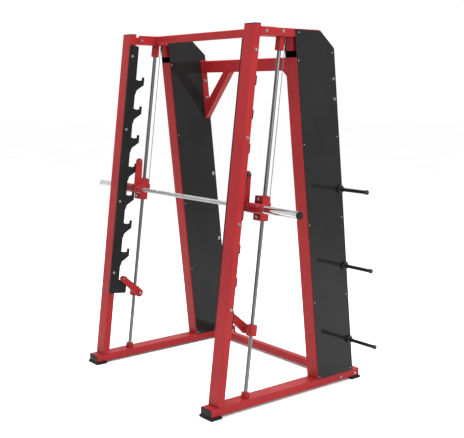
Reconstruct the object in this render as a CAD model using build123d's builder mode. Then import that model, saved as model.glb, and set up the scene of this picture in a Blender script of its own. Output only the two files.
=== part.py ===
from build123d import *
import os
from math import cos, pi, radians, sin

# Smith machine. Millimetres. X across the machine, Y from front to back, Z up.
# The origin is on the floor, at the centre of the footprint.

# ---- driving dimensions -----------------------------------------------------------------
TUBE_W, TUBE_D, WALL = 100.0, 50.0, 3.0      # main frame tube, across X by in depth, and its wall
CORNER = 5.0                                 # outer corner radius of the tubes
FRAME_OUT = 725.0                            # outer face of each side frame
FRAME_IN = FRAME_OUT - TUBE_W                # inner face of each side frame
SIDE_X = (FRAME_OUT + FRAME_IN) / 2          # middle of each side frame
RAIL_END = 635.0                             # base rails run this far each way along Y
FOOT_Z = 15.0                                # thickness of the foot pads
RAIL_Z = FOOT_Z + TUBE_D                     # top of the base rails
TOP_Z0, TOP_Z1 = 2271.0, 2321.0              # underside and top of the top rails
TOP_MID = (TOP_Z0 + TOP_Z1) / 2
TOP_REAR = 217.0                             # rear end of the top rails
UPRIGHT_TOP = 2336.0
LEAN = 7.0                                   # lean of uprights and guide rods, in degrees
COLUMN_LEAN = 6.2                            # lean of the columns the other way

# places across a leaning plane: "n" backwards, square to the uprights, and "t" up along them
N_FRONT = -589.5                             # front face of the uprights
N_REAR = N_FRONT + TUBE_D
N_EDGE = -517.0                              # rear edge of the hook plates
N_TIP = -450.0                               # rear face of the hooks
N_BAR = -433.5
N_ROD = -339.7
N_CABLE = -297.0
ROD_R = 12.5
PLATE_IN, PLATE_OUT = 617.0, FRAME_IN        # hook plates stand on the inner faces of the uprights
PLATE_T0, PLATE_T1 = 443.0, 2212.0
HOOKS, PITCH, TIP_TOP = 8, 205.3, 2002.0     # hooks on a plate, their pitch and the top tip
CUP_DEPTH, TIP_R = 28.0, 9.0

BAR_T = 1206.0                               # height of the bar along its travel, at rest
BAR_R, BAR_HALF = 14.0, 1098.0
SLEEVE_R, SLEEVE_IN = 25.0, 792.0
PIN_R = 12.0
ARM_IN, ARM_OUT = 603.0, 615.0               # hook arms and safety arms lie between these in X
ARM_LONG = 195.0
PIN_N = N_TIP + PIN_R + 0.8                  # the pins just clear the hooks at rest

SAFETY_T, SAFETY_PIN_N = 444.0, -490.0       # safety pivot height, and its pin's place in the cup

# places across a column: "m" backwards, square to the column, and "q" up along it
M_FRONT, M_PANEL0, M_PANEL1 = 251.5, 257.5, 579.0
PANEL_T = 3.0
PANEL_Z0, PANEL_Z1 = 66.0, 2316.0
CHAMFER_Y, CHAMFER_Z = 219.5, 2213.0
POST_TOP = 2150.0
M_WEIGHT = 418.0                             # the counterweight hangs here
WEIGHT_Q, WEIGHT_H = 1150.0, 226.0

PULLEY_R, CABLE_R = 18.5, 2.5                # radius of the cable's line over a pulley
AXLE_R = 5.0
FIT = 0.05                                   # radial clearance of a running fit

M_REAR_POST = M_PANEL1 - 25                  # middle of the rear post
END_PLATE = 7.0
WEIGHT_ROD_R = 6.0
HUB_R = 31.0
BUSH_R = 20.0                                # outer radius of the linear bearings
CARRIAGE_H = 152.0
N_PLATE = -379.7                             # back of the carriage front plates
LUG_TOP = 36.0
SAFETY_PIN_T = 551.5

SL, CL = sin(radians(LEAN)), cos(radians(LEAN))
SC, CC = sin(radians(COLUMN_LEAN)), cos(radians(COLUMN_LEAN))
SIDES = ((1, "right"), (-1, "left"))

PULLEY_Z = TOP_Z1 - WALL - CABLE_R - 1 - PULLEY_R
FRONT_PULLEY = ((N_CABLE + PULLEY_R + PULLEY_Z * SL) / CL, PULLEY_Z)
REAR_PULLEY = ((M_WEIGHT - PULLEY_R - PULLEY_Z * SC) / CC, PULLEY_Z)


# ---- planes and places ------------------------------------------------------------------
def lean_yz(n, t):
    return n * CL + t * SL, -n * SL + t * CL


def column_yz(m, q):
    return m * CC - q * SC, m * SC + q * CC


def column_y(m, z):
    return (m - z * SC) / CC


def lean_side(x):
    """Plane across X whose two directions are n and t."""
    return Plane(origin=(x, 0, 0), x_dir=(0, CL, -SL), z_dir=(1, 0, 0))


def column_side(x):
    """Plane across X whose two directions are m and q."""
    return Plane(origin=(x, 0, 0), x_dir=(0, CC, SC), z_dir=(1, 0, 0))


def lean_up(x, n, t):
    """Plane square to the guide rods, with X and n as its directions."""
    return Plane(origin=(x, *lean_yz(n, t)), x_dir=(1, 0, 0), z_dir=(0, SL, CL))


def column_up(x, m, q):
    """Plane square to the column, with X and m as its directions."""
    return Plane(origin=(x, *column_yz(m, q)), x_dir=(1, 0, 0), z_dir=(0, -SC, CC))


def span(side, near, far):
    """Lower X and width of the slab between two distances from the middle, on one side."""
    return min(side * near, side * far), abs(far - near)


def save(builder, name):
    builder.part.label = name
    export_step(builder.part, f"parts/{name}.step")


def tube_face(plane, width, depth, wall=WALL):
    """Hollow rounded tube section, centred on the plane."""
    with BuildSketch(plane) as section:
        RectangleRounded(width, depth, CORNER)
        RectangleRounded(width - 2 * wall, depth - 2 * wall, CORNER - wall, mode=Mode.SUBTRACT)
    return section.sketch


def disc(plane, radius, places=((0, 0),), bore=0.0):
    with BuildSketch(plane) as section:
        with Locations(*places):
            Circle(radius)
        if bore:
            with Locations(*places):
                Circle(bore, mode=Mode.SUBTRACT)
    return section.sketch


def plate_face(plane, x0, x1, y0, y1, radius=0.0):
    """Rectangle between two corners, in the plane's own directions."""
    with BuildSketch(plane) as section:
        with Locations(((x0 + x1) / 2, (y0 + y1) / 2)):
            if radius:
                RectangleRounded(x1 - x0, y1 - y0, radius)
            else:
                Rectangle(x1 - x0, y1 - y0)
    return section.sketch


def hexagon(plane, radius, places):
    with BuildSketch(plane) as section:
        with Locations(*places):
            RegularPolygon(radius, 6)
    return section.sketch


def link_face(plane, start, start_r, end, end_r):
    """Outline of a tapered arm: two round ends and the lines that touch both."""
    with BuildSketch(plane) as section:
        with Locations(start):
            Circle(start_r)
        with Locations(end):
            Circle(end_r)
        make_hull()
    return section.sketch


def through_bolts(plane, depth, places, head_r=11.0, head_h=7.0, shank_r=6.0, nut_h=9.0):
    """Bolts along the plane's normal: a head and a washer behind the plane, a shank and a nut beyond."""
    washer = 2.0
    extrude(disc(plane, head_r + 2.5, places), amount=-washer)
    extrude(hexagon(plane.offset(-washer), head_r, places), amount=-head_h)
    extrude(disc(plane.offset(-washer), shank_r, places), amount=depth + 2 * washer + nut_h)
    extrude(disc(plane.offset(depth), head_r + 2.5, places), amount=washer)
    extrude(hexagon(plane.offset(depth + washer), head_r, places), amount=nut_h)


# ---- side frames ------------------------------------------------------------------------
TOP_BOLTS = ((-218, 2297), (-88, 2300))               # (y, z) of the crossmember bolts
BASE_BOLTS = ((463, 38), (596, 38))
END_BOLTS = ((M_REAR_POST, 1975), (M_REAR_POST, 1848))     # (m, q) of the rear plate bolts
HOOK_BOLTS = tuple((N_FRONT + TUBE_D / 2, t) for t in (2134, 1620, 1107, 593))    # (n, t)
PEGS = tuple((M_REAR_POST, q) for q in (1265, 750, 232))   # (m, q) of the storage pegs


def bore(plane, radius, places, depth):
    extrude(disc(plane, radius, places), amount=depth, mode=Mode.SUBTRACT)


def base_rail(side, name):
    middle = (side * SIDE_X, RAIL_END, RAIL_Z - TUBE_D / 2)
    with BuildPart() as rail:
        extrude(tube_face(Plane(origin=middle, x_dir=(1, 0, 0), z_dir=(0, -1, 0)), TUBE_W, TUBE_D),
                amount=2 * RAIL_END)
        bore(Plane.YZ.offset(side * SIDE_X - 60), 6, BASE_BOLTS, 120)
    save(rail, f"base_rail_{name}")


def upright(side, name):
    with BuildPart() as post:
        extrude(tube_face(lean_up(side * SIDE_X, N_FRONT + TUBE_D / 2, 0), TUBE_W, TUBE_D), amount=2450)
        split(bisect_by=Plane.XY.offset(RAIL_Z), keep=Keep.TOP)
        split(bisect_by=Plane.XY.offset(UPRIGHT_TOP), keep=Keep.BOTTOM)
        bore(lean_side(side * SIDE_X - 60), 6, HOOK_BOLTS, 120)
    save(post, f"upright_{name}")


def top_rail(side, name):
    middle = (side * SIDE_X, TOP_REAR, TOP_MID)
    front_slot = (N_CABLE + TOP_Z0 * SL) / CL
    rear_slot = column_y(M_WEIGHT, TOP_Z0)
    with BuildPart() as rail:
        extrude(tube_face(Plane(origin=middle, x_dir=(1, 0, 0), z_dir=(0, -1, 0)), TUBE_W, TUBE_D),
                amount=600)
        split(bisect_by=Plane(origin=(0, *lean_yz(N_REAR, 0)), z_dir=(0, CL, -SL)), keep=Keep.TOP)
        bore(Plane.YZ.offset(side * SIDE_X - 60), 6, TOP_BOLTS, 120)
        extrude(plate_face(Plane.XY.offset(TOP_Z0 - 1), side * SIDE_X - 9, side * SIDE_X + 9,
                           front_slot - 16, front_slot + 22), amount=WALL + 2, mode=Mode.SUBTRACT)
        extrude(plate_face(Plane.XY.offset(TOP_Z0 - 1), side * SIDE_X - 9, side * SIDE_X + 9,
                           rear_slot - 22, rear_slot + 16), amount=WALL + 2, mode=Mode.SUBTRACT)
    save(rail, f"top_rail_{name}")


def column_posts(side, name):
    with BuildPart() as front:
        extrude(tube_face(column_up(side * SIDE_X, M_FRONT + TUBE_D / 2, 0), TUBE_W, TUBE_D), amount=2300)
        split(bisect_by=Plane.XY.offset(RAIL_Z), keep=Keep.TOP)
        split(bisect_by=Plane.XY.offset(POST_TOP), keep=Keep.BOTTOM)
    save(front, f"front_post_{name}")
    with BuildPart() as rear:
        extrude(tube_face(column_up(side * SIDE_X, M_REAR_POST, 0), TUBE_W, TUBE_D), amount=2300)
        split(bisect_by=Plane.XY.offset(RAIL_Z), keep=Keep.TOP)
        split(bisect_by=Plane.XY.offset(2195), keep=Keep.BOTTOM)
        bore(column_side(side * SIDE_X - 60), 6, END_BOLTS, 120)
        bore(column_side(side * SIDE_X - 60), 8, PEGS, 120)
    save(rear, f"rear_post_{name}")


def column_panel(side, name, near, label):
    low, _ = span(side, near, near + PANEL_T)
    outline = ((column_y(M_PANEL0, PANEL_Z0), PANEL_Z0), (column_y(M_PANEL1, PANEL_Z0), PANEL_Z0),
               (column_y(M_PANEL1, CHAMFER_Z), CHAMFER_Z), (CHAMFER_Y, PANEL_Z1),
               (column_y(M_PANEL0, PANEL_Z1), PANEL_Z1))
    with BuildPart() as panel:
        with BuildSketch(Plane.YZ.offset(low)):
            Polygon(*outline, align=None)
        extrude(amount=PANEL_T)
        bore(column_side(low - 1), 6, END_BOLTS, PANEL_T + 2)
        bore(column_side(low - 1), 8, PEGS, PANEL_T + 2)
    save(panel, f"{label}_{name}")


def hook_plate(side, name):
    low, thick = span(side, PLATE_IN, PLATE_OUT)
    inner = N_TIP - 2 * TIP_R
    cup_r = (inner - N_EDGE) / 2
    cup_n = (inner + N_EDGE) / 2
    with BuildPart() as plate:
        with BuildSketch(lean_side(low)):
            with Locations(((N_FRONT + N_EDGE) / 2, (PLATE_T0 + PLATE_T1) / 2)):
                RectangleRounded(N_EDGE - N_FRONT, PLATE_T1 - PLATE_T0, 14)
            for hook in range(HOOKS):
                tip = TIP_TOP - hook * PITCH
                foot = max(tip - 148, PLATE_T0 + 20)
                Polygon((N_EDGE - 12, tip - cup_r), (N_EDGE - 12, foot), (N_EDGE, foot + 10),
                        (N_EDGE + 12, tip - 98), (N_TIP, tip - 56), (N_TIP, tip - TIP_R),
                        (inner, tip - TIP_R), (inner, tip - cup_r), align=None)
                with Locations((N_TIP - TIP_R, tip - TIP_R)):
                    Circle(TIP_R)
            bottom = TIP_TOP - (HOOKS - 1) * PITCH - 50
            with Locations(((N_FRONT + 20 + N_TIP) / 2, (PLATE_T0 + bottom) / 2)):
                RectangleRounded(N_TIP - N_FRONT - 20, bottom - PLATE_T0, 10)
            for hook in range(HOOKS):
                tip = TIP_TOP - hook * PITCH
                with Locations((cup_n, tip - CUP_DEPTH + cup_r)):
                    Circle(cup_r, mode=Mode.SUBTRACT)
                with Locations((cup_n, tip - CUP_DEPTH + cup_r + 40)):
                    Rectangle(2 * cup_r, 80, mode=Mode.SUBTRACT)
        extrude(amount=thick)
        bore(lean_side(low - 1), 6, HOOK_BOLTS, thick + 2)
    save(plate, f"hook_plate_{name}")


def guide_rod(side, name):
    with BuildPart() as rod:
        extrude(disc(lean_up(side * SIDE_X, N_ROD, 0), ROD_R), amount=2400)
        split(bisect_by=Plane.XY.offset(RAIL_Z), keep=Keep.TOP)
        split(bisect_by=Plane.XY.offset(TOP_Z0), keep=Keep.BOTTOM)
    save(rod, f"guide_rod_{name}")


def rod_mounts():
    with BuildPart() as mounts:
        for side, _ in SIDES:
            with BuildSketch(lean_up(side * SIDE_X, N_ROD, 2164)):
                RectangleRounded(42, 42, 5)
            extrude(amount=250)
            extrude(disc(lean_up(side * SIDE_X, N_ROD, 0), 26), amount=56)
        split(bisect_by=Plane.XY.offset(RAIL_Z), keep=Keep.TOP)
        split(bisect_by=Plane.XY.offset(TOP_Z0), keep=Keep.BOTTOM)
        for side, _ in SIDES:
            bore(lean_up(side * SIDE_X, N_ROD, 0), ROD_R, ((0, 0),), 2500)
    save(mounts, "rod_mounts")


def top_crossmember():
    middle = (-PLATE_IN - 2, -82, TOP_MID + 10)
    with BuildPart() as beam:
        extrude(tube_face(Plane(origin=middle, x_dir=(0, 1, 0), z_dir=(1, 0, 0)), TUBE_D, TUBE_D),
                amount=2 * (PLATE_IN + 2))
        for side, _ in SIDES:
            low, thick = span(side, FRAME_IN - 6, FRAME_IN)
            extrude(plate_face(Plane.YZ.offset(low), -243, -50, TOP_Z0, TOP_Z1 + 12, 6), amount=thick)
            bore(Plane.YZ.offset(low - 1), 6, TOP_BOLTS, thick + 2)
    save(beam, "top_crossmember")


def base_crossmember():
    middle = (-PLATE_IN - 2, 503, RAIL_Z - TUBE_D / 2)
    with BuildPart() as beam:
        extrude(tube_face(Plane(origin=middle, x_dir=(0, 1, 0), z_dir=(1, 0, 0)), TUBE_D, TUBE_D),
                amount=2 * (PLATE_IN + 2))
        for side, _ in SIDES:
            low, thick = span(side, FRAME_IN - 6, FRAME_IN)
            extrude(plate_face(Plane.YZ.offset(low), 440, 620, FOOT_Z, RAIL_Z, 6), amount=thick)
            bore(Plane.YZ.offset(low - 1), 6, BASE_BOLTS, thick + 2)
    save(beam, "base_crossmember")


def rear_brace():
    x_end = FRAME_IN - PANEL_T - END_PLATE
    beam_m = M_REAR_POST
    beam_q, beam_tall, deep = 2078.0, 86.0, 50.0
    under = beam_q - beam_tall / 2
    with BuildPart() as plates:
        for side, _ in SIDES:
            low, thick = span(side, x_end, x_end + END_PLATE)
            extrude(plate_face(column_side(low), M_PANEL1 - 50, M_PANEL1, 1692, 2128, 5), amount=thick)
            bore(column_side(low - 1), 6, END_BOLTS, thick + 2)
    save(plates, "rear_end_plates")
    middle = (-x_end, *column_yz(beam_m, beam_q))
    with BuildPart() as beam:
        extrude(tube_face(Plane(origin=middle, x_dir=(0, CC, SC), z_dir=(1, 0, 0)), deep, beam_tall),
                amount=2 * x_end)
    save(beam, "rear_crossmember")
    with BuildPart() as braces:
        for side, _ in SIDES:
            for inset, mode in ((0, Mode.ADD), (WALL, Mode.SUBTRACT)):
                with BuildSketch(Plane(origin=(0, *column_yz(beam_m - deep / 2 + inset, 0)),
                                       x_dir=(1, 0, 0), z_dir=(0, CC, SC))):
                    Polygon((side * (286 + 1.45 * inset), -under), (side * (361 - 1.45 * inset), -under),
                            (side * x_end, -1790 + 1.45 * inset), (side * x_end, -1700 - 1.45 * inset),
                            align=None)
                extrude(amount=deep - 2 * inset, mode=mode)
    save(braces, "knee_braces")


def small_frame_pieces():
    with BuildPart() as housings:
        for side, _ in SIDES:
            low = side * SIDE_X
            extrude(plate_face(Plane.XY.offset(2190), low - 25, low + 25, 4.5, 66, 4), amount=TOP_Z0 - 2190)
            extrude(plate_face(Plane.XY.offset(2190), low - 22, low + 22, 7.5, 63), amount=TOP_Z0 - 2193,
                    mode=Mode.SUBTRACT)
    save(housings, "cable_housings")

    with BuildPart() as pads:
        for side, _ in SIDES:
            middle = side * SIDE_X
            for y0, y1 in ((-646, -560), (560, 646)):
                extrude(plate_face(Plane.XY, middle - 64, middle + 64, y0, y1, 8), amount=FOOT_Z)
    save(pads, "foot_pads")

    with BuildPart() as caps:
        for side, _ in SIDES:
            middle = side * SIDE_X
            for end in (-1, 1):
                face = Plane(origin=(middle, end * RAIL_END, RAIL_Z - TUBE_D / 2), x_dir=(1, 0, 0),
                             z_dir=(0, end, 0))
                with BuildSketch(face):
                    RectangleRounded(TUBE_W, TUBE_D, CORNER)
                extrude(amount=5)
                with BuildSketch(face):
                    RectangleRounded(TUBE_W - 2 * WALL, TUBE_D - 2 * WALL, CORNER - WALL)
                extrude(amount=-18)
            y = (N_FRONT + TUBE_D / 2 + UPRIGHT_TOP * SL) / CL
            extrude(plate_face(Plane.XY.offset(UPRIGHT_TOP), middle - 50, middle + 50, y - 25, y + 25, 5),
                    amount=6)
    save(caps, "tube_end_caps")

    with BuildPart() as roofs:
        run_y = column_y(M_PANEL1, CHAMFER_Z) - CHAMFER_Y
        run_z = CHAMFER_Z - PANEL_Z1
        length = (run_y ** 2 + run_z ** 2) ** 0.5
        for side, _ in SIDES:
            slope = Plane(origin=(side * SIDE_X - TUBE_W / 2, CHAMFER_Y, PANEL_Z1),
                          x_dir=(0, run_y / length, run_z / length), z_dir=(1, 0, 0))
            extrude(plate_face(slope, 6, length - 6, -3, 0), amount=TUBE_W)
    save(roofs, "column_caps")

    with BuildPart() as pegs:
        for side, _ in SIDES:
            outer = Plane(origin=(side * (FRAME_OUT + PANEL_T), 0, 0), x_dir=(0, CC, SC),
                          z_dir=(1, 0, 0))
            reach = side * 242
            for m, q in PEGS:
                extrude(plate_face(outer, m - 21, m + 29, q - 21, q + 21, 6), amount=side * 5)
            extrude(disc(outer.offset(side * 5), 26, PEGS), amount=side * 12)
            extrude(disc(outer.offset(side * 17), 12, PEGS), amount=reach - side * 27)
            extrude(disc(outer.offset(reach - side * 10), 15, PEGS), amount=side * 10)
            extrude(disc(outer, 8, PEGS), amount=-side * (TUBE_W + 2 * PANEL_T + 10))
    save(pegs, "storage_pegs")

    with BuildPart() as nuts:
        for side, _ in SIDES:
            inner = column_side(side * (FRAME_IN - PANEL_T))
            extrude(disc(inner, 16, PEGS, 8), amount=-side * 2)
            extrude(hexagon(inner.offset(-side * 2), 13, PEGS), amount=-side * 7)
            extrude(disc(inner, 8, PEGS), amount=-side * 12, mode=Mode.SUBTRACT)
    save(nuts, "peg_nuts")


def frame_fasteners():
    with BuildPart() as hook_bolts:
        for side, _ in SIDES:
            low, _ = span(side, PLATE_IN, FRAME_OUT)
            through_bolts(lean_side(low), FRAME_OUT - PLATE_IN, HOOK_BOLTS)
    save(hook_bolts, "hook_plate_bolts")
    with BuildPart() as bolts:
        for side, _ in SIDES:
            low, _ = span(side, FRAME_IN - 6, FRAME_OUT)
            through_bolts(Plane.YZ.offset(low), TUBE_W + 6, TOP_BOLTS)
            through_bolts(Plane.YZ.offset(low), TUBE_W + 6, BASE_BOLTS)
            near = FRAME_IN - PANEL_T - END_PLATE
            low, _ = span(side, near, FRAME_OUT + PANEL_T)
            through_bolts(column_side(low), FRAME_OUT + PANEL_T - near, END_BOLTS)
    save(bolts, "frame_bolts")
    with BuildPart() as screws:
        places = [(M_PANEL0 + 11, q) for q in (51, 567, 1083, 1599, 2115)]
        places += [(M_PANEL1 - 20, q) for q in (24, 552, 1080, 1608, 2136)]
        places += [(288, 2281)]
        for side, _ in SIDES:
            extrude(disc(column_side(side * (FRAME_OUT + PANEL_T)), 6, places), amount=side * 3)
            extrude(disc(column_side(side * (FRAME_IN - PANEL_T)), 6, places[:5]), amount=-side * 3)
    save(screws, "panel_screws")


# ---- pulleys, cables and counterweights -------------------------------------------------
def pulley(side, name, centre, label):
    x = side * SIDE_X
    with BuildPart() as wheel:
        with BuildSketch(Plane(origin=(x, *centre), x_dir=(1, 0, 0), z_dir=(0, 0, -1))):
            Polygon((-7, AXLE_R + FIT), (7, AXLE_R + FIT), (7, 20.5), (4.2, 20.5), (3.2, 15.5),
                    (-3.2, 15.5), (-4.2, 20.5), (-7, 20.5), align=None)
        revolve(axis=Axis((x, *centre), (1, 0, 0)))
    save(wheel, f"{label}_{name}")


def axles():
    with BuildPart() as pins:
        for side, _ in SIDES:
            for centre in (FRONT_PULLEY, REAR_PULLEY):
                low = side * SIDE_X
                extrude(disc(Plane.YZ.offset(low - TUBE_W / 2 + WALL), AXLE_R, (centre,)),
                        amount=TUBE_W - 2 * WALL)
                extrude(disc(Plane.YZ.offset(low + 7.5), 8, (centre,)), amount=TUBE_W / 2 - WALL - 7.5)
                extrude(disc(Plane.YZ.offset(low - 7.5), 8, (centre,)), amount=-TUBE_W / 2 + WALL + 7.5)
    save(pins, "pulley_axles")


def cables():
    start = (FRONT_PULLEY[0] - PULLEY_R * CL, FRONT_PULLEY[1] + PULLEY_R * SL)
    end = (REAR_PULLEY[0] + PULLEY_R * CC, REAR_PULLEY[1] + PULLEY_R * SC)
    lug_top = BAR_T + LUG_TOP
    n_start = start[1] * CL + start[0] * SL
    q_end = end[1] * CC - end[0] * SC
    with BuildPart() as fronts:
        for side, _ in SIDES:
            x = side * SIDE_X
            extrude(disc(lean_up(x, N_CABLE, lug_top), CABLE_R), amount=n_start - lug_top)
            extrude(disc(lean_up(x, N_CABLE, lug_top), 5.5), amount=34)
    save(fronts, "front_cables")
    with BuildPart() as tops:
        for side, _ in SIDES:
            x = side * SIDE_X
            extrude(disc(Plane(origin=(x, FRONT_PULLEY[0], FRONT_PULLEY[1] + PULLEY_R), x_dir=(1, 0, 0),
                               z_dir=(0, 1, 0)), CABLE_R), amount=REAR_PULLEY[0] - FRONT_PULLEY[0])
            for centre, turn in ((FRONT_PULLEY, 90 - LEAN), (REAR_PULLEY, -(90 - COLUMN_LEAN))):
                revolve(disc(Plane(origin=(x, centre[0], centre[1] + PULLEY_R), x_dir=(1, 0, 0),
                                   z_dir=(0, 1, 0)), CABLE_R),
                        axis=Axis((x, *centre), (1, 0, 0)), revolution_arc=turn)
    save(tops, "top_cables")
    with BuildPart() as rears:
        for side, _ in SIDES:
            x = side * SIDE_X
            bottom = WEIGHT_Q + WEIGHT_H / 2
            extrude(disc(column_up(x, M_WEIGHT, bottom), CABLE_R), amount=q_end - bottom)
            extrude(disc(column_up(x, M_WEIGHT, bottom), 8), amount=30)
    save(rears, "rear_cables")


def counterweights():
    with BuildPart() as weights:
        for side, _ in SIDES:
            x = side * SIDE_X
            with BuildSketch(column_up(x, M_WEIGHT, WEIGHT_Q - WEIGHT_H / 2)):
                RectangleRounded(80, 140, 6)
                with Locations((0, -30), (0, 30)):
                    Circle(WEIGHT_ROD_R + FIT, mode=Mode.SUBTRACT)
            extrude(amount=WEIGHT_H)
    save(weights, "counterweights")
    with BuildPart() as rods:
        for side, _ in SIDES:
            for m in (M_WEIGHT - 30, M_WEIGHT + 30):
                extrude(disc(column_up(side * SIDE_X, m, 0), WEIGHT_ROD_R), amount=2400)
        split(bisect_by=Plane.XY.offset(RAIL_Z), keep=Keep.TOP)
        split(bisect_by=Plane.XY.offset(TOP_Z0), keep=Keep.BOTTOM)
    save(rods, "weight_rods")


# ---- carriages and bar ------------------------------------------------------------------
def carriages():
    bottom, top = BAR_T - CARRIAGE_H / 2, BAR_T + CARRIAGE_H / 2
    with BuildPart() as housings:
        for side, _ in SIDES:
            x = side * SIDE_X
            with BuildSketch(lean_up(x, N_ROD, bottom)):
                with Locations((0, -8)):
                    RectangleRounded(60, 64, 8)
                with Locations((0, 12)):
                    Circle(20)
                Circle(BUSH_R, mode=Mode.SUBTRACT)
            extrude(amount=CARRIAGE_H)
            with BuildSketch(lean_side(x - 5)):
                with Locations(((N_ROD + 24 + N_CABLE + 12) / 2, BAR_T + LUG_TOP - 20)):
                    RectangleRounded(N_CABLE + 12 - N_ROD - 24, 40, 6)
            extrude(amount=10)
    save(housings, "carriages")
    with BuildPart() as plates:
        for side, _ in SIDES:
            x = side * SIDE_X
            face = Plane(origin=(x, *lean_yz(N_PLATE, BAR_T)), x_dir=(1, 0, 0), z_dir=(0, -CL, SL))
            with BuildSketch(face):
                RectangleRounded(71, CARRIAGE_H, 5)
            extrude(amount=8)
            with BuildSketch(lean_side(x - 34)):
                with Locations((N_BAR, BAR_T)):
                    Circle(HUB_R)
                with Locations(((N_BAR + N_PLATE - 4) / 2, BAR_T)):
                    Rectangle(N_PLATE - 4 - N_BAR, 46)
                with Locations((N_BAR, BAR_T)):
                    Circle(BUSH_R + 2, mode=Mode.SUBTRACT)
            extrude(amount=68)
            bore(face.offset(-1), 5, ((0, 52), (0, -52)), 12)
    save(plates, "carriage_plates")
    with BuildPart() as bushes:
        for side, _ in SIDES:
            for t in (bottom, top - 58):
                extrude(disc(lean_up(side * SIDE_X, N_ROD, t), BUSH_R, ((0, 0),), ROD_R + FIT), amount=58)
    save(bushes, "linear_bearings")
    with BuildPart() as bearings:
        for side, _ in SIDES:
            for x in (side * SIDE_X - 34, side * SIDE_X + 16):
                extrude(disc(lean_side(x), BUSH_R + 2, ((N_BAR, BAR_T),), BAR_R + FIT), amount=18)
    save(bearings, "bar_bearings")
    with BuildPart() as bolts:
        for side, _ in SIDES:
            face = Plane(origin=(side * SIDE_X, *lean_yz(N_PLATE, BAR_T)), x_dir=(1, 0, 0),
                         z_dir=(0, -CL, SL))
            extrude(hexagon(face.offset(8), 10, ((0, 52), (0, -52))), amount=7)
            extrude(disc(face, 5, ((0, 52), (0, -52))), amount=8)
    save(bolts, "carriage_bolts")


def bar():
    with BuildPart() as shaft:
        extrude(disc(lean_side(-BAR_HALF), BAR_R, ((N_BAR, BAR_T),)), amount=2 * BAR_HALF)
    save(shaft, "bar")
    with BuildPart() as hubs:
        for side, _ in SIDES:
            for near, far in ((540, ARM_IN), (SIDE_X + 36, SLEEVE_IN)):
                low, length = span(side, near, far)
                extrude(disc(lean_side(low), HUB_R, ((N_BAR, BAR_T),), BAR_R), amount=length)
    save(hubs, "bar_hubs")
    with BuildPart() as sleeves:
        for side, _ in SIDES:
            low, length = span(side, SLEEVE_IN, BAR_HALF - 8)
            extrude(disc(lean_side(low), SLEEVE_R, ((N_BAR, BAR_T),), BAR_R), amount=length)
    save(sleeves, "bar_sleeves")
    with BuildPart() as ends:
        for side, _ in SIDES:
            low, length = span(side, BAR_HALF - 8, BAR_HALF)
            extrude(disc(lean_side(low), SLEEVE_R, ((N_BAR, BAR_T),), BAR_R), amount=length)
    save(ends, "bar_end_caps")
    pin_t = BAR_T + (ARM_LONG ** 2 - (PIN_N - N_BAR) ** 2) ** 0.5
    with BuildPart() as arms:
        for side, _ in SIDES:
            low, thick = span(side, ARM_IN, ARM_OUT)
            extrude(link_face(lean_side(low), (N_BAR, BAR_T), HUB_R - 2, (PIN_N, pin_t), 25), amount=thick)
            bore(lean_side(low - 1), BAR_R, ((N_BAR, BAR_T),), thick + 2)
            bore(lean_side(low - 1), 8, ((PIN_N, pin_t),), thick + 2)
    save(arms, "hook_arms")
    with BuildPart() as pins:
        for side, _ in SIDES:
            outer = lean_side(side * ARM_OUT)
            extrude(disc(outer, 8, ((PIN_N, pin_t),)), amount=-side * (ARM_OUT - ARM_IN + 6))
            extrude(disc(outer, PIN_R, ((PIN_N, pin_t),)), amount=side * 17)
    save(pins, "hook_pins")


# ---- safety catches ---------------------------------------------------------------------
def safety(side, name):
    x = side * SIDE_X
    pivot = (N_ROD, SAFETY_T)
    low, thick = span(side, ARM_IN, ARM_OUT)
    with BuildPart() as collar:
        with BuildSketch(lean_up(x, N_ROD, SAFETY_T - 30)):
            RectangleRounded(54, 54, 12)
        extrude(amount=68)
        extrude(disc(lean_side(side * (SIDE_X - 25)), 10, (pivot,)), amount=-side * (SIDE_X - 25 - ARM_IN + 8))
        bore(lean_up(x, N_ROD, SAFETY_T - 30), ROD_R + FIT, ((0, 0),), 68)
    save(collar, f"safety_collar_{name}")
    with BuildPart() as arm:
        extrude(link_face(lean_side(low), pivot, 30, (SAFETY_PIN_N, SAFETY_PIN_T), 21), amount=thick)
        bore(lean_side(low - 1), 10 + FIT, (pivot,), thick + 2)
        bore(lean_side(low - 1), 8, ((SAFETY_PIN_N, SAFETY_PIN_T),), thick + 2)
    save(arm, f"safety_arm_{name}")
    with BuildPart() as pin:
        place = ((SAFETY_PIN_N, SAFETY_PIN_T),)
        extrude(disc(lean_side(side * ARM_OUT), 8, place), amount=-side * (ARM_OUT - ARM_IN + 6))
        extrude(disc(lean_side(side * ARM_OUT), PIN_R, place), amount=side * 17)
    save(pin, f"safety_pin_{name}")


if __name__ == "__main__":
    os.makedirs("parts", exist_ok=True)
    for side, name in SIDES:
        base_rail(side, name)
        upright(side, name)
        top_rail(side, name)
        column_posts(side, name)
        column_panel(side, name, FRAME_OUT, "outer_panel")
        column_panel(side, name, FRAME_IN - PANEL_T, "inner_panel")
        hook_plate(side, name)
        guide_rod(side, name)
        pulley(side, name, FRONT_PULLEY, "front_pulley")
        pulley(side, name, REAR_PULLEY, "rear_pulley")
        safety(side, name)
    rod_mounts()
    top_crossmember()
    base_crossmember()
    rear_brace()
    small_frame_pieces()
    frame_fasteners()
    axles()
    cables()
    counterweights()
    carriages()
    bar()
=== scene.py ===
import math
import random

import bmesh
import bpy
from mathutils import Matrix, Vector


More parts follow.
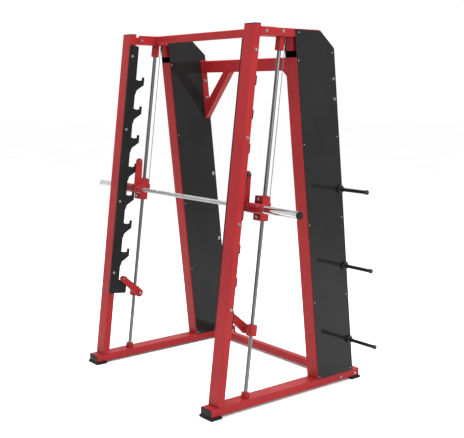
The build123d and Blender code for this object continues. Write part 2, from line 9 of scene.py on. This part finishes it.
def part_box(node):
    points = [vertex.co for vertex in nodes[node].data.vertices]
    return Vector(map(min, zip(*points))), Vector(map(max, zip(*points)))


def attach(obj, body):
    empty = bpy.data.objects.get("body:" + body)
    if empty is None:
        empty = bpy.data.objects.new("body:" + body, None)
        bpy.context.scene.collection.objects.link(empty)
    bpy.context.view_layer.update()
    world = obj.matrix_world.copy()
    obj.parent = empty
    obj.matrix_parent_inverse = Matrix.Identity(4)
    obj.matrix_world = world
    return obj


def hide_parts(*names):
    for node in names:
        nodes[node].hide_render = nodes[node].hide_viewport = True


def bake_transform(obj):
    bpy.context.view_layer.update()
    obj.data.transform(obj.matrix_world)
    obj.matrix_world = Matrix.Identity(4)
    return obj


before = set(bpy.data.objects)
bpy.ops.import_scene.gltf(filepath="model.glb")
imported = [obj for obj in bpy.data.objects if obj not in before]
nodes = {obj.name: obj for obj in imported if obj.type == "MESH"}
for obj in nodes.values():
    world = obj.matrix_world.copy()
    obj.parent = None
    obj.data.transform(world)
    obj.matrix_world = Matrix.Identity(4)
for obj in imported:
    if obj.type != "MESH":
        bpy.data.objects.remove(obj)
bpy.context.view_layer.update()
random.seed(7)

# ---- places, in metres, as the CAD has them --------------------------------------------
LEAN = math.radians(7.0)                 # of the guide rods, uprights and hook plates
COLUMN_LEAN = math.radians(6.2)          # of the weight columns, the other way
SIDE_X = 0.675                           # middle of each side frame
FRAME_FACE = 0.725                       # outer face of the side frames' tubes
OUTER_PANEL_FACE = 0.728
INNER_PANEL_FACE = 0.622
FLANGE_FACE = 0.619                      # inner face of the crossmembers' flanges
PLATE_FACE = 0.617                       # inner face of the hook plates
END_PLATE_FACE = 0.615                   # inner face of the rear crossmember's end plates
ARM_FACE = 0.603                         # inner face of the hook arms and safety arms
ROD_N = -0.3397                          # guide rods, rearwards in the leaning frame
BAR_N = -0.4335                          # bar axis
BAR_T = 1.206
CABLE_N = -0.297
CABLE_M = 0.418                          # rear cable runs, in the columns' frame
CABLE_R = 0.0025
PULLEY_R = 0.0185
UP = Vector((0, math.sin(LEAN), math.cos(LEAN)))             # up along the guide rods
BACK = Vector((0, math.cos(LEAN), -math.sin(LEAN)))          # square to them, rearwards
COLUMN_UP = Vector((0, -math.sin(COLUMN_LEAN), math.cos(COLUMN_LEAN)))
COLUMN_BACK = Vector((0, math.cos(COLUMN_LEAN), math.sin(COLUMN_LEAN)))
X = Vector((1, 0, 0))
Y = Vector((0, 1, 0))
Z = Vector((0, 0, 1))
SIDES = ((1, "right"), (-1, "left"))


def lean(x, n, t):
    return X * x + BACK * n + UP * t


def column(x, m, q):
    return X * x + COLUMN_BACK * m + COLUMN_UP * q


# ---- materials --------------------------------------------------------------------------
def new_material(name, color, metallic=0.0, roughness=0.5, specular=0.5):
    material = bpy.data.materials.new(name)
    material.use_nodes = True
    shader = material.node_tree.nodes["Principled BSDF"]
    shader.inputs["Base Color"].default_value = (*color, 1)
    shader.inputs["Metallic"].default_value = metallic
    shader.inputs["Roughness"].default_value = roughness
    shader.inputs["Specular IOR Level"].default_value = specular
    return material


def add_node(material, kind, **values):
    node = material.node_tree.nodes.new(kind)
    for key, value in values.items():
        if key in node.inputs:
            node.inputs[key].default_value = value
        else:
            setattr(node, key, value)
    return node


def link(material, source, target):
    material.node_tree.links.new(source, target)


def shader_of(material):
    return material.node_tree.nodes["Principled BSDF"]


def position(material, scale=(1, 1, 1)):
    """Object coordinates in metres, stretched by a scale."""
    coords = add_node(material, "ShaderNodeTexCoord")
    mapping = add_node(material, "ShaderNodeMapping")
    mapping.inputs["Scale"].default_value = scale
    link(material, coords.outputs["Object"], mapping.inputs["Vector"])
    return mapping.outputs["Vector"]


def noise(material, scale, detail=4.0, stretch=(1, 1, 1)):
    node = add_node(material, "ShaderNodeTexNoise", Scale=scale, Detail=detail, Roughness=0.5)
    link(material, position(material, stretch), node.inputs["Vector"])
    return node.outputs["Fac"]


def ramp(material, source, stops):
    """A colour that follows a value; stops are (value, colour)."""
    node = add_node(material, "ShaderNodeValToRGB")
    elements = node.color_ramp.elements
    while len(elements) < len(stops):
        elements.new(0.5)
    for element, (place, color) in zip(elements, stops):
        element.position = place
        element.color = (*color, 1)
    link(material, source, node.inputs["Fac"])
    return node.outputs["Color"]


def spread(material, source, low, high):
    """The middle of a noise's range, stretched from low to high."""
    node = add_node(material, "ShaderNodeMapRange")
    node.inputs["From Min"].default_value = 0.3
    node.inputs["From Max"].default_value = 0.7
    node.inputs["To Min"].default_value = low
    node.inputs["To Max"].default_value = high
    link(material, source, node.inputs["Value"])
    return node.outputs["Result"]


def bump(material, height, strength, distance):
    node = add_node(material, "ShaderNodeBump", Strength=strength, Distance=distance)
    link(material, height, node.inputs["Height"])
    return node.outputs["Normal"]


def paint(name, dark, light, roughness, specular, peel=0.22):
    """Powder coat: slight colour drift, orange peel, and a dusty film in the roughness."""
    material = new_material(name, light, roughness=roughness, specular=specular)
    shader = shader_of(material)
    drift = noise(material, 5.0, 5.0)
    link(material, ramp(material, drift, ((0.3, dark), (0.7, light))), shader.inputs["Base Color"])
    film = noise(material, 22.0, 6.0)
    link(material, spread(material, film, roughness - 0.05, roughness + 0.09), shader.inputs["Roughness"])
    grain = noise(material, 520.0, 2.0)
    link(material, bump(material, grain, peel, 0.0004), shader.inputs["Normal"])
    return material


def polished(name, color, roughness, streak, scale, strength):
    """Metal with fine marks; streak squeezes them along each axis."""
    material = new_material(name, color, metallic=1.0, roughness=roughness)
    shader = shader_of(material)
    marks = noise(material, scale, 5.0, streak)
    link(material, spread(material, marks, roughness * 0.65, roughness * 1.5), shader.inputs["Roughness"])
    tone = ramp(material, noise(material, 14.0, 4.0),
                ((0.35, tuple(c * 0.86 for c in color)), (0.65, color)))
    link(material, tone, shader.inputs["Base Color"])
    link(material, bump(material, marks, strength, 0.0002), shader.inputs["Normal"])
    return material


def knurled():
    """Crossed diagonal grooves cut in a bright bar that lies along X."""
    material = new_material("knurled steel", (0.42, 0.42, 0.43), metallic=1.0, roughness=0.28)
    shader = shader_of(material)
    waves = []
    for slant in (1, -1):
        wave = add_node(material, "ShaderNodeTexWave", wave_type="BANDS", bands_direction="DIAGONAL",
                        Scale=150.0, Distortion=0.0)
        link(material, position(material, (1, slant, slant)), wave.inputs["Vector"])
        waves.append(wave.outputs["Fac"])
    both = add_node(material, "ShaderNodeMath", operation="MULTIPLY")
    link(material, waves[0], both.inputs[0])
    link(material, waves[1], both.inputs[1])
    link(material, bump(material, both.outputs["Value"], 0.8, 0.0008), shader.inputs["Normal"])
    # painted shade: the base colour goes dark down in the knurl's grooves and stays bright on the ridges
    tone = ramp(material, both.outputs["Value"], ((0.0, (0.2, 0.2, 0.205)), (0.6, (0.5, 0.5, 0.51))))
    link(material, tone, shader.inputs["Base Color"])
    link(material, spread(material, noise(material, 40.0), 0.22, 0.4), shader.inputs["Roughness"])
    return material


def moulded(name, color, roughness, grain_scale=900.0, specular=0.3):
    """Grained plastic or cast surface."""
    material = new_material(name, color, roughness=roughness, specular=specular)
    shader = shader_of(material)
    grain = noise(material, grain_scale, 3.0)
    link(material, bump(material, grain, 0.35, 0.0005), shader.inputs["Normal"])
    link(material, spread(material, noise(material, 30.0), roughness - 0.1, roughness + 0.1),
         shader.inputs["Roughness"])
    tone = ramp(material, noise(material, 12.0), ((0.3, tuple(c * 0.7 for c in color)), (0.7, color)))
    link(material, tone, shader.inputs["Base Color"])
    return material


RED = paint("red powder coat", (0.235, 0.0115, 0.014), (0.272, 0.0145, 0.017),
            roughness=0.38, specular=0.12)
WELD_RED = paint("red over weld", (0.23, 0.011, 0.014), (0.285, 0.015, 0.018),
                 roughness=0.42, specular=0.12, peel=0.5)
PANEL = paint("gloss black panel", (0.010, 0.010, 0.010), (0.013, 0.013, 0.013),
              roughness=0.05, specular=0.13, peel=0.03)
PLATE = paint("satin black plate", (0.005, 0.005, 0.0055), (0.008, 0.008, 0.0085),
              roughness=0.4, specular=0.15)
CHROME = polished("hard chrome", (0.6, 0.6, 0.61), 0.12, (1, 8, 8), 60.0, 0.05)
ROD = polished("ground rod", (0.15, 0.15, 0.152), 0.26, (30, 30, 1), 30.0, 0.06)
ZINC = polished("zinc plate", (0.32, 0.315, 0.3), 0.34, (1, 1, 1), 260.0, 0.25)
PEG = paint("black peg", (0.010, 0.010, 0.010), (0.014, 0.014, 0.014), roughness=0.3, specular=0.25)
CABLE = polished("wire rope", (0.16, 0.16, 0.165), 0.4, (1, 1, 1), 400.0, 0.3)
IRON = moulded("cast iron", (0.05, 0.05, 0.052), 0.6, grain_scale=380.0)
PLASTIC = moulded("black plastic", (0.009, 0.009, 0.0095), 0.5, specular=0.12)
NYLON = moulded("black nylon", (0.022, 0.022, 0.023), 0.38)
KNURL = knurled()


# ---- mesh tools -------------------------------------------------------------------------
def make_object(name, mesh_builder, material, body):
    """Turns a bmesh into a smooth-shaded object that rides a body."""
    mesh = bpy.data.meshes.new(name)
    mesh_builder.normal_update()
    mesh_builder.to_mesh(mesh)
    mesh_builder.free()
    piece = bpy.data.objects.new(name, mesh)
    bpy.context.scene.collection.objects.link(piece)
    for polygon in mesh.polygons:
        polygon.use_smooth = True
    mesh.materials.append(material)
    mesh.set_sharp_from_angle(angle=math.radians(32))
    if body:
        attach(piece, body)
    return piece


def across(axis):
    """Two directions square to an axis and to each other."""
    first = axis.cross(Z if abs(axis.z) < 0.8 else X).normalized()
    return first, axis.cross(first).normalized()


def skin(target, rings):
    """Closed tube through rings of points, with a face at each end."""
    sides = len(rings[0])
    for low, high in zip(rings, rings[1:]):
        for side in range(sides):
            after = (side + 1) % sides
            target.faces.new((low[side], low[after], high[after], high[side]))
    target.faces.new(list(reversed(rings[0])))
    target.faces.new(rings[-1])


def lathe(target, centre, axis, profile, sides=32, turn=0.0):
    """A turned shape: profile is (along the axis, radius) from end to end."""
    first, second = across(axis)
    rings = []
    for along, radius in profile:
        ring = []
        for side in range(sides):
            angle = turn + 2 * math.pi * side / sides
            spoke = first * math.cos(angle) + second * math.sin(angle)
            ring.append(target.verts.new(centre + axis * along + spoke * radius))
        rings.append(ring)
    skin(target, rings)
    return rings


THREAD_PITCH = 0.0014
HEX_TURN = 0.3                           # how far the hexagons are turned from square


def hex_bolt(target, face, out, size=0.008, height=0.0062, washer=0.0018, thread=0.0):
    """Washer and chamfered hexagon head on a face, with a domed top or a stub of thread."""
    lathe(target, face, out, ((0, size * 1.2), (washer * 0.75, size * 1.2), (washer, size * 1.15)), 28)
    face = face + out * washer
    lathe(target, face, out, ((0, size * 0.93), (0.0006, size * 0.97)), 28)
    lathe(target, face + out * 0.0006, out,
          ((0, size), (height * 0.78, size), (height, size * 0.88), (height, size * 0.8)), 6, HEX_TURN)
    face = face + out * height
    lathe(target, face, out, ((0, size * 0.78), (0.0005, size * 0.7)), 24)
    if thread:
        steps = [(0, size * 0.52)]
        for turn in range(int(thread / THREAD_PITCH)):
            steps += [((turn + 0.5) * THREAD_PITCH, size * 0.56), ((turn + 1) * THREAD_PITCH, size * 0.5)]
        steps.append((thread + 0.0006, size * 0.42))
        lathe(target, face, out, steps, 20)


def button_screw(target, face, out, size=0.0045):
    """Domed head with a round socket."""
    sides = 24
    profile = ((0, size), (size * 0.18, size * 0.99), (size * 0.34, size * 0.86), (size * 0.45, size * 0.62),
               (size * 0.48, size * 0.42))
    rim = lathe(target, face, out, profile, sides)[-1]
    target.faces.remove(next(lid for lid in rim[0].link_faces if len(lid.verts) == sides))
    floor = [target.verts.new(v.co - out * size * 0.3) for v in rim]
    for side in range(sides):
        after = (side + 1) % sides
        target.faces.new((rim[side], rim[after], floor[after], floor[side]))
    target.faces.new(floor)


def bead(target, path, radius, closed=True):
    """A weld: overlapping ripples along a path."""
    ripple = 0.0035
    sides = 8
    points = list(path) + ([path[0]] if closed else [])
    for start, end in zip(points, points[1:]):
        length = (end - start).length
        direction = (end - start) / length
        first, second = across(direction)
        steps = max(2, int(length / ripple)) * 3
        rings = []
        for index in range(steps + 1):
            swell = radius * (0.86 + 0.16 * (index % 3 == 1) + 0.06 * random.random())
            centre = start + direction * (length * index / steps)
            rings.append([target.verts.new(centre + (first * math.cos(a) + second * math.sin(a)) * swell)
                          for a in (2 * math.pi * side / sides for side in range(sides))])
        skin(target, rings)


def rope(target, path, radius, step=0.0035):
    """A stranded cable along straight runs: the strands wind round as it goes."""
    lobes = 6
    lay = 0.034                          # length of one turn of a strand
    sides = lobes * 4
    done = 0.0
    rings = []
    for start, end in zip(path, path[1:]):
        run = (end - start).length
        direction = (end - start) / run
        first, second = X, direction.cross(X).normalized()
        count = max(1, int(run / step))
        for index in range(count + (end is path[-1])):
            here = done + run * index / count
            centre = start + direction * (run * index / count)
            ring = []
            for side in range(sides):
                angle = 2 * math.pi * side / sides
                strand = abs(math.cos(lobes * (angle - 2 * math.pi * here / lay) / 2))
                spoke = first * math.cos(angle) + second * math.sin(angle)
                ring.append(target.verts.new(centre + spoke * (radius * (0.8 + 0.2 * strand))))
            rings.append(ring)
        done += run
    skin(target, rings)


def soften(node, width, material):
    """Rounds a CAD node's edges and gives it its finish."""
    piece = nodes[node]
    weld = piece.modifiers.new("weld", "WELD")
    weld.merge_threshold = 0.00002
    flat = piece.modifiers.new("flat", "DECIMATE")
    flat.decimate_type = "DISSOLVE"
    flat.angle_limit = math.radians(0.6)
    edge = piece.modifiers.new("edge", "BEVEL")
    edge.width = width
    edge.segments = 3
    edge.limit_method = "ANGLE"
    edge.angle_limit = math.radians(38)
    edge.harden_normals = False
    edge.use_clamp_overlap = True
    for polygon in piece.data.polygons:
        polygon.use_smooth = True
    smooth = piece.modifiers.new("normals", "WEIGHTED_NORMAL")
    smooth.keep_sharp = True
    piece.data.materials.clear()
    piece.data.materials.append(material)


# ---- CAD nodes that stay ----------------------------------------------------------------
for _, side in SIDES:
    for stem, material, width in (
        ("base_rail", RED, 0.0008), ("upright", RED, 0.0008), ("top_rail", RED, 0.0008),
        ("front_post", RED, 0.0008), ("rear_post", RED, 0.0008), ("outer_panel", PANEL, 0.0009),
        ("inner_panel", PANEL, 0.0009), ("hook_plate", PLATE, 0.0011), ("guide_rod", ROD, 0.0005),
        ("front_pulley", NYLON, 0.0004), ("rear_pulley", NYLON, 0.0004), ("safety_collar", RED, 0.0025),
        ("safety_arm", RED, 0.0016), ("safety_pin", NYLON, 0.0012),
    ):
        soften(f"{stem}_{side}", width, material)
for node, material, width in (
    ("rod_mounts", RED, 0.002), ("top_crossmember", RED, 0.001), ("base_crossmember", RED, 0.001),
    ("rear_end_plates", RED, 0.0012), ("rear_crossmember", RED, 0.001), ("knee_braces", RED, 0.0035),
    ("cable_housings", RED, 0.0012), ("foot_pads", PLASTIC, 0.003), ("tube_end_caps", PLASTIC, 0.0018),
    ("column_caps", PANEL, 0.0008), ("storage_pegs", PEG, 0.0012), ("pulley_axles", ZINC, 0.0005),
    ("counterweights", IRON, 0.003), ("weight_rods", ROD, 0.0004), ("carriages", RED, 0.003),
    ("carriage_plates", RED, 0.002), ("linear_bearings", ZINC, 0.0006), ("bar_bearings", ZINC, 0.0006),
    ("hook_arms", RED, 0.0018), ("hook_pins", NYLON, 0.0012),
):
    soften(node, width, material)

# ---- fasteners --------------------------------------------------------------------------
HOOK_BOLTS = [(-0.5645, t) for t in (2.134, 1.62, 1.107, 0.593)]      # (n, t)
TOP_BOLTS = [(-0.218, 2.297), (-0.088, 2.300)]                        # (y, z)
BASE_BOLTS = [(0.463, 0.038), (0.596, 0.038)]                         # (y, z)
END_BOLTS = [(0.554, 1.975), (0.554, 1.848)]                          # (m, q)
PEGS = [(0.554, q) for q in (1.265, 0.750, 0.232)]                    # (m, q)
FRONT_SCREWS = [(0.2685, q) for q in (0.051, 0.567, 1.083, 1.599, 2.115)] + [(0.288, 2.281)]
REAR_SCREWS = [(0.559, q) for q in (0.024, 0.552, 1.080, 1.608, 2.136)]
STUB = 0.004                             # thread that stands out of a nut

hook_bolts = bmesh.new()
for way, _ in SIDES:
    for n, t in HOOK_BOLTS:
        hex_bolt(hook_bolts, lean(way * FRAME_FACE, n, t), X * way)
        hex_bolt(hook_bolts, lean(way * PLATE_FACE, n, t), X * -way, thread=STUB)
piece = make_object("hook_plate_bolts_detail", hook_bolts, ZINC, "frame")
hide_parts("hook_plate_bolts")

frame_bolts = bmesh.new()
for way, _ in SIDES:
    for y, z in TOP_BOLTS + BASE_BOLTS:
        hex_bolt(frame_bolts, Vector((way * FRAME_FACE, y, z)), X * way)
        hex_bolt(frame_bolts, Vector((way * FLANGE_FACE, y, z)), X * -way, thread=STUB)
    for m, q in END_BOLTS:
        hex_bolt(frame_bolts, column(way * OUTER_PANEL_FACE, m, q), X * way)
        hex_bolt(frame_bolts, column(way * END_PLATE_FACE, m, q), X * -way, thread=STUB)
piece = make_object("frame_bolts_detail", frame_bolts, ZINC, "frame")
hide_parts("frame_bolts")

nuts = bmesh.new()
for way, _ in SIDES:
    for m, q in PEGS:
        hex_bolt(nuts, column(way * INNER_PANEL_FACE, m, q), X * -way, size=0.0115, height=0.007,
                 thread=0.003)
piece = make_object("peg_nuts_detail", nuts, ZINC, "frame")
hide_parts("peg_nuts")

screws = bmesh.new()
for way, _ in SIDES:
    for m, q in FRONT_SCREWS + REAR_SCREWS:
        button_screw(screws, column(way * OUTER_PANEL_FACE, m, q), X * way)
    for m, q in FRONT_SCREWS:
        button_screw(screws, column(way * INNER_PANEL_FACE, m, q), X * -way)
piece = make_object("panel_screws_detail", screws, ZINC, "frame")
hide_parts("panel_screws")

bolts = bmesh.new()
for way, _ in SIDES:
    for t in (BAR_T + 0.052, BAR_T - 0.052):
        hex_bolt(bolts, lean(way * SIDE_X, -0.3877, t), -BACK, size=0.0095, height=0.006)
piece = make_object("carriage_bolts_detail", bolts, ZINC, "carriages")
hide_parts("carriage_bolts")

# bolt heads on the inner ends of the safeties' pivots and pins, and of the hook pins
SAFETY_PIVOT_T = 0.444
SAFETY_PIN = (-0.490, 0.5515)                                         # (n, t)
HOOK_PIN = (-0.4372, 1.40096)
for way, side in SIDES:
    cap = bmesh.new()
    hex_bolt(cap, lean(way * 0.595, ROD_N, SAFETY_PIVOT_T), X * -way, size=0.008, height=0.005)
    make_object(f"safety_pivot_bolt_{side}", cap, ZINC, f"safety_collar_{side}")
    for name, place, body in ((f"safety_pin_bolt_{side}", SAFETY_PIN, f"safety_arm_{side}"),
                              (f"hook_pin_bolt_{side}", HOOK_PIN, "bar")):
        cap = bmesh.new()
        hex_bolt(cap, lean(way * ARM_FACE, *place), X * -way, size=0.0065, height=0.005, washer=0.0014)
        make_object(name, cap, ZINC, body)

# ---- bar --------------------------------------------------------------------------------
bar_axis = lean(0, BAR_N, BAR_T)
shaft = bmesh.new()
profile = [(-1.086, 0.011), (-1.085, 0.0135), (-0.5, 0.0135)]
for mark in (-0.455, -0.16, 0.16, 0.455):                             # grip rings
    profile += [(mark - 0.004, 0.0139), (mark - 0.003, 0.0131), (mark + 0.003, 0.0131),
                (mark + 0.004, 0.0139)]
profile += [(0.5, 0.0135), (1.085, 0.0135), (1.086, 0.011)]
lathe(shaft, bar_axis, X, profile, 40)
piece = make_object("bar_shaft", shaft, KNURL, "bar")
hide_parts("bar")

sleeves = bmesh.new()
for way, _ in SIDES:
    lathe(sleeves, bar_axis, X * way,
          ((0.7922, 0.0235), (0.7932, 0.025), (0.8050, 0.025), (0.8056, 0.0243), (0.8080, 0.0243),
           (0.8086, 0.025), (1.0890, 0.025), (1.0898, 0.0243)), 64)
piece = make_object("bar_sleeves_detail", sleeves, CHROME, "bar")
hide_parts("bar_sleeves")

ends = bmesh.new()
for way, _ in SIDES:
    lathe(ends, bar_axis, X * way,
          ((1.0898, 0.0245), (1.0902, 0.025), (1.0955, 0.0248), (1.0976, 0.0232), (1.0980, 0.0205),
           (1.0972, 0.0165), (1.0970, 0.006), (1.0974, 0.004)), 48)
piece = make_object("bar_end_caps_detail", ends, PLASTIC, "bar")
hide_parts("bar_end_caps")

hubs = bmesh.new()
for way, _ in SIDES:
    lathe(hubs, bar_axis, X * way,
          ((0.5400, 0.0165), (0.5402, 0.0285), (0.5425, 0.0310), (0.6012, 0.0310), (0.6030, 0.0295)), 56)
    lathe(hubs, bar_axis, X * way,
          ((0.7112, 0.0285), (0.7130, 0.0310), (0.7700, 0.0310), (0.7706, 0.0304), (0.7730, 0.0304),
           (0.7736, 0.0310), (0.7895, 0.0310), (0.7918, 0.0288), (0.7920, 0.0250)), 56)
piece = make_object("bar_hubs_detail", hubs, RED, "bar")
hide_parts("bar_hubs")

GRUB_TURN = 0.5                          # how far above level the grub screws point forwards
grub_out = (-BACK * math.cos(GRUB_TURN) + UP * math.sin(GRUB_TURN)).normalized()
grubs = bmesh.new()
for way, _ in SIDES:
    for place in (0.570, 0.755):
        button_screw(grubs, bar_axis + X * (way * place) + grub_out * 0.0305, grub_out, 0.0048)
make_object("hub_grub_screws", grubs, ZINC, "bar")

# ---- bearing seals ----------------------------------------------------------------------
seals = bmesh.new()
for way, _ in SIDES:
    for t, up in ((BAR_T + 0.076, UP), (BAR_T - 0.076, -UP)):
        centre = lean(way * SIDE_X, ROD_N, t)
        lathe(seals, centre - up * 0.0006, up,
              ((0, 0.0215), (0.0022, 0.0215), (0.0030, 0.0205), (0.0030, 0.0175), (0.0022, 0.0165),
               (0.0022, 0.0135)), 40)
make_object("bearing_seals", seals, NYLON, "carriages")

# ---- cables -----------------------------------------------------------------------------
def middle_of(node):
    low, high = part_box(node)
    return (Vector(low) + Vector(high)) / 2


def quarter(centre, start, end, lean_back):
    """Points over a pulley, from one direction to the other, short of a right angle by a lean."""
    turns = ((math.pi / 2 - lean_back) * index / 12 for index in range(13))
    return [centre + (start * math.cos(turn) + end * math.sin(turn)) * PULLEY_R for turn in turns]


front_mid = middle_of("front_pulley_right")
rear_mid = middle_of("rear_pulley_right")
for way, side in SIDES:
    x = way * SIDE_X
    front_mid.x = x
    rear_mid.x = x
    top = front_mid - BACK * PULLEY_R
    low = lean(x, CABLE_N, BAR_T + 0.036)
    run = bmesh.new()
    rope(run, [low, top], CABLE_R)
    lathe(run, low, UP, ((0, 0.004), (0.001, 0.0055), (0.030, 0.0055), (0.034, 0.0035)), 24)
    piece = make_object(f"front_cable_{side}", run, CABLE, None)
    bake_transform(piece)
    if way > 0:
        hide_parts("front_cables")
    run = bmesh.new()
    rope(run, quarter(front_mid, -BACK, UP, LEAN) + quarter(rear_mid, Z, Y, COLUMN_LEAN), CABLE_R)
    piece = make_object(f"top_cable_{side}", run, CABLE, "frame")
    if way > 0:
        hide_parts("top_cables")
    top = rear_mid + COLUMN_BACK * PULLEY_R
    low = column(x, CABLE_M, 1.263)
    run = bmesh.new()
    rope(run, [low, top], CABLE_R, step=0.006)
    lathe(run, low, COLUMN_UP, ((0, 0.006), (0.001, 0.008), (0.026, 0.008), (0.030, 0.0045)), 24)
    piece = make_object(f"rear_cable_{side}", run, CABLE, None)
    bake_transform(piece)
    if way > 0:
        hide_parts("rear_cables")

# ---- welds ------------------------------------------------------------------------------
RAIL_TOP = 0.0655


def around_tube(x0, x1, y0, y1):
    """The outline of a tube that stands on a base rail, with its corners cut."""
    cut = 0.004
    corners = ((x0 + cut, y0), (x1 - cut, y0), (x1, y0 + cut), (x1, y1 - cut), (x1 - cut, y1),
               (x0 + cut, y1), (x0, y1 - cut), (x0, y0 + cut))
    return [Vector((x, y, RAIL_TOP)) for x, y in corners]


def over_beam(x, y0, y1, z0, z1):
    """Up, over and down the end of a crossmember."""
    cut = 0.003
    corners = ((y0, z0), (y0, z1 - cut), (y0 + cut, z1), (y1 - cut, z1), (y1, z1 - cut), (y1, z0))
    return [Vector((x, y, z)) for y, z in corners]


welds = bmesh.new()
for way, _ in SIDES:
    low_x, high_x = sorted((way * 0.6265, way * 0.7235))
    for y0, y1 in ((-0.586, -0.5355), (0.2462, 0.2960), (0.5255, 0.5755)):
        bead(welds, around_tube(low_x, high_x, y0, y1), 0.0026)
    bead(welds, over_beam(way * FLANGE_FACE, -0.107, -0.057, 2.284, 2.331), 0.0022, closed=False)
    bead(welds, over_beam(way * FLANGE_FACE, 0.478, 0.528, 0.018, 0.065), 0.0022, closed=False)
make_object("weld_beads", welds, WELD_RED, "frame")

# ---- floor, light and camera ------------------------------------------------------------
floor_mesh = bmesh.new()
bmesh.ops.create_grid(floor_mesh, x_segments=2, y_segments=2, size=40)
floor_material = new_material("pale floor", (0.93, 0.93, 0.93), roughness=0.7, specular=0.15)
patches = ramp(floor_material, noise(floor_material, 0.6, 2.0),
               ((0.3, (0.92, 0.92, 0.92)), (0.7, (0.94, 0.94, 0.94))))
link(floor_material, patches, shader_of(floor_material).inputs["Base Color"])
floor = make_object("floor", floor_mesh, floor_material, None)

world = bpy.data.worlds.new("studio")
bpy.context.scene.world = world
world.use_nodes = True
world.node_tree.nodes["Background"].inputs["Color"].default_value = (1, 1, 1, 1)
world.node_tree.nodes["Background"].inputs["Strength"].default_value = 1.06


def area_light(name, place, target, size, power):
    data = bpy.data.lights.new(name, "AREA")
    data.shape = "RECTANGLE"
    data.size, data.size_y = size
    data.energy = power
    lamp = bpy.data.objects.new(name, data)
    lamp.location = place
    lamp.rotation_euler = (Vector(target) - Vector(place)).to_track_quat("-Z", "Y").to_euler()
    bpy.context.scene.collection.objects.link(lamp)


area_light("key", (5.5, 0.2, 3.0), (0, 0, 1.1), (3.5, 3.0), 124)
area_light("top", (0, 0.2, 5.5), (0, 0, 1.0), (4.5, 4.5), 450)

camera_data = bpy.data.cameras.new("camera")
camera_data.lens = 65.85
camera_data.sensor_width = 36.0
camera = bpy.data.objects.new("camera", camera_data)
camera.location = (4.5665, -3.5554, 1.9545)
camera.rotation_euler = (math.radians(81.35), 0, math.radians(51.3))
bpy.context.scene.collection.objects.link(camera)
bpy.context.scene.camera = camera
bpy.context.scene.view_settings.view_transform = "Standard"
